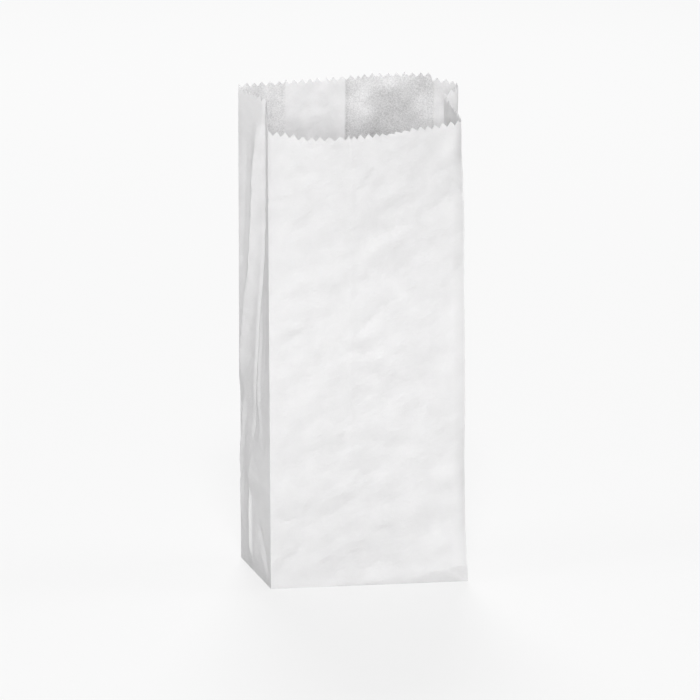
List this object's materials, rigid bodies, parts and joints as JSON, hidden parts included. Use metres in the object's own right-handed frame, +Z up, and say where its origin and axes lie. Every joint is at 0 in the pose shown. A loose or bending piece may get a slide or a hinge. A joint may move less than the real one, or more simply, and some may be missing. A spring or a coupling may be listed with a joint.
{
  "type": "paper bag",
  "caption": "Plain white paper bag standing open, with pleated sides, a toothed cut mouth that is lower at the front, a pasted back seam and a folded flat base.",
  "frame": {"origin": "middle of the bounding box, on the plane the bag stands on", "axes": "+Z up through the open mouth, the lower cut front panel faces -Y, the seamed back panel faces +Y"},
  "size_m": [0.143, 0.093, 0.3244],
  "materials": {
    "white_paper": "bleached thin kraft paper, matt, slightly creased"
  },
  "bodies": {
    "root": {"paper_bag": "white_paper"}
  },
  "joints": []
}
